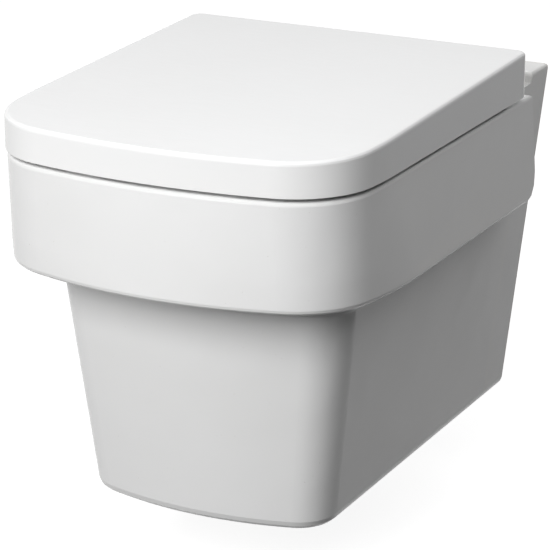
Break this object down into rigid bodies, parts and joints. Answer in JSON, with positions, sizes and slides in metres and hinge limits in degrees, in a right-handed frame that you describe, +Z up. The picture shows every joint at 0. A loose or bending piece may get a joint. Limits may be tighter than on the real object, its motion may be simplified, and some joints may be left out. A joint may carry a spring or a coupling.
{
  "type": "wall hung toilet",
  "caption": "Wall hung washdown toilet pan with a square-fronted rim band over a tapering shrouded body, and a soft-close wrap-over seat and lid.",
  "frame": {"origin": "midway between the two wall fixing holes, on the wall face of the pan", "axes": "+Z up, +Y out of the back face into the wall, +X to the right seen from the front"},
  "size_m": [0.3694, 0.5234, 0.3829],
  "materials": {
    "glazed_china": "white vitreous china with a clear gloss glaze",
    "seat_plastic": "white gloss thermoset",
    "white_rubber": "white matt rubber",
    "black_rubber": "black matt rubber",
    "chrome": "polished chrome plate",
    "steel": "stainless steel",
    "zinc_steel": "zinc plated steel",
    "brass": "plain turned brass",
    "grey_plastic": "grey moulded plastic"
  },
  "bodies": {
    "pan": {"pan_back": "glazed_china", "pan_rim": "glazed_china", "pan_shroud": "glazed_china", "pan_bowl": "glazed_china", "pan_trapway": "glazed_china", "hinge_arm_left": "chrome", "hinge_arm_right": "chrome", "hinge_pin_left": "steel", "hinge_pin_right": "steel", "hinge_gaskets": "white_rubber", "seat_bolts": "steel", "plug_inserts": "brass", "expansion_plugs": "black_rubber", "wall_sleeves": "grey_plastic", "wall_washers": "zinc_steel", "wall_nuts": "zinc_steel", "inlet_seal": "black_rubber"},
    "seat": {"seat_ring": "seat_plastic", "seat_bumpers": "white_rubber", "seat_damper": "grey_plastic"},
    "lid": {"lid": "seat_plastic", "lid_bumpers": "white_rubber", "lid_damper": "grey_plastic"}
  },
  "joints": [
    {"name": "seat_hinge", "type": "hinge", "parent": "pan", "child": "seat", "pos_m": [0, -0.113, 0.107], "axis": [-1, 0, 0], "range_deg": [0, 80]},
    {"name": "lid_hinge", "type": "hinge", "parent": "seat", "child": "lid", "pos_m": [0, -0.113, 0.107], "axis": [-1, 0, 0], "range_deg": [0, 95]}
  ]
}
